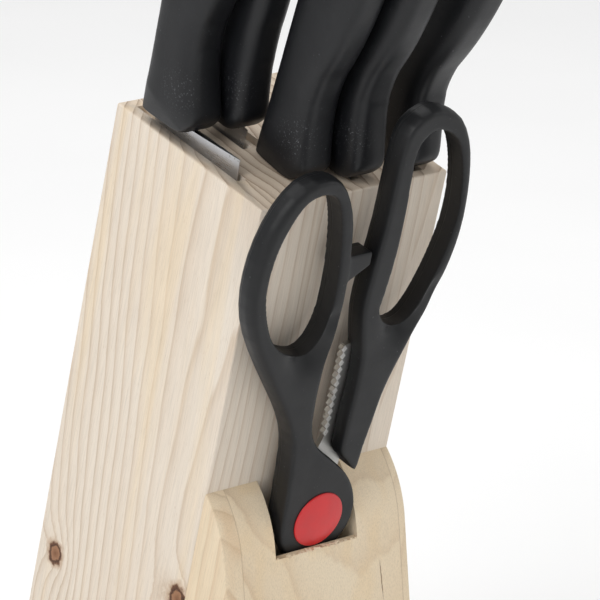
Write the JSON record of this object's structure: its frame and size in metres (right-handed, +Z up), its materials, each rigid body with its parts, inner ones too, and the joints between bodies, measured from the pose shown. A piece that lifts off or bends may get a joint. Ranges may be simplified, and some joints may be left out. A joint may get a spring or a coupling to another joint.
{
  "type": "knife block with knives and scissors",
  "caption": "Forward-leaning wooden block with black-handled kitchen knives in slots in its top and red-capped kitchen scissors standing in a notched foot in front.",
  "frame": {"origin": "middle of the block's bottom face, on the table", "axes": "+X to the right when the scissors face the viewer, -Y to the front (the scissors side), +Z up"},
  "size_m": [0.0842, 0.1923, 0.3532],
  "materials": {
    "pine": "planed pale pine, unvarnished",
    "foot_wood": "sanded pale hardwood, unvarnished",
    "dowel_wood": "plain beech dowel",
    "black_plastic": "fine spark-eroded satin black",
    "blade_steel": "fine cross-ground",
    "pivot_steel": "turned",
    "red_plastic": "smooth glossy red"
  },
  "bodies": {
    "block": {"left_cheek_board": "pine", "chef_side_board": "pine", "thin_middle_board": "pine", "centre_board": "pine", "wide_right_board": "pine", "right_cheek_board": "pine", "foot_left_stave": "foot_wood", "foot_middle_stave": "foot_wood", "foot_right_stave": "foot_wood", "foot_dowels": "dowel_wood"},
    "chef_knife": {"chef_blade": "blade_steel", "chef_handle": "black_plastic"},
    "paring_knife": {"paring_blade": "blade_steel", "paring_handle": "black_plastic"},
    "bread_knife": {"bread_blade": "blade_steel", "bread_handle": "black_plastic"},
    "slicing_knife": {"slicing_blade": "blade_steel", "slicing_handle": "black_plastic"},
    "utility_knife": {"utility_blade": "blade_steel", "utility_handle": "black_plastic"},
    "scissors_pivot": {"pivot_bolt": "pivot_steel", "pivot_nut": "pivot_steel", "pivot_cap": "red_plastic"},
    "scissors_left": {"shear_left_blade": "blade_steel", "shear_left_handle": "black_plastic"},
    "scissors_right": {"shear_right_blade": "blade_steel", "shear_right_handle": "black_plastic"}
  },
  "joints": [
    {"name": "chef_knife_lift", "type": "slide", "parent": "block", "child": "chef_knife", "axis": [0, -0.225, 0.9744], "range_m": [0, 0.196]},
    {"name": "paring_knife_lift", "type": "slide", "parent": "block", "child": "paring_knife", "axis": [0, -0.3256, 0.9455], "range_m": [0, 0.096]},
    {"name": "bread_knife_lift", "type": "slide", "parent": "block", "child": "bread_knife", "axis": [0, -0.3256, 0.9455], "range_m": [0, 0.196]},
    {"name": "slicing_knife_lift", "type": "slide", "parent": "block", "child": "slicing_knife", "axis": [0, -0.3256, 0.9455], "range_m": [0, 0.196]},
    {"name": "utility_knife_lift", "type": "slide", "parent": "block", "child": "utility_knife", "axis": [0, -0.4067, 0.9135], "range_m": [0, 0.136]},
    {"name": "scissors_lift", "type": "hinge", "parent": "block", "child": "scissors_pivot", "pos_m": [0, -0.52608, -0.03066], "axis": [1, 0, 0], "range_deg": [0, 9.5]},
    {"name": "left_half_turn", "type": "hinge", "parent": "scissors_pivot", "child": "scissors_left", "pos_m": [0, -0.0766, 0.10697], "axis": [0, -0.9613, -0.2756], "range_deg": [0, 5]},
    {"name": "right_half_turn", "type": "hinge", "parent": "scissors_pivot", "child": "scissors_right", "pos_m": [0, -0.0766, 0.10697], "axis": [0, -0.9613, -0.2756], "range_deg": [-5, 0]}
  ],
  "couplings": [
    {"joint": "right_half_turn", "follows": "left_half_turn", "ratio": -1}
  ]
}
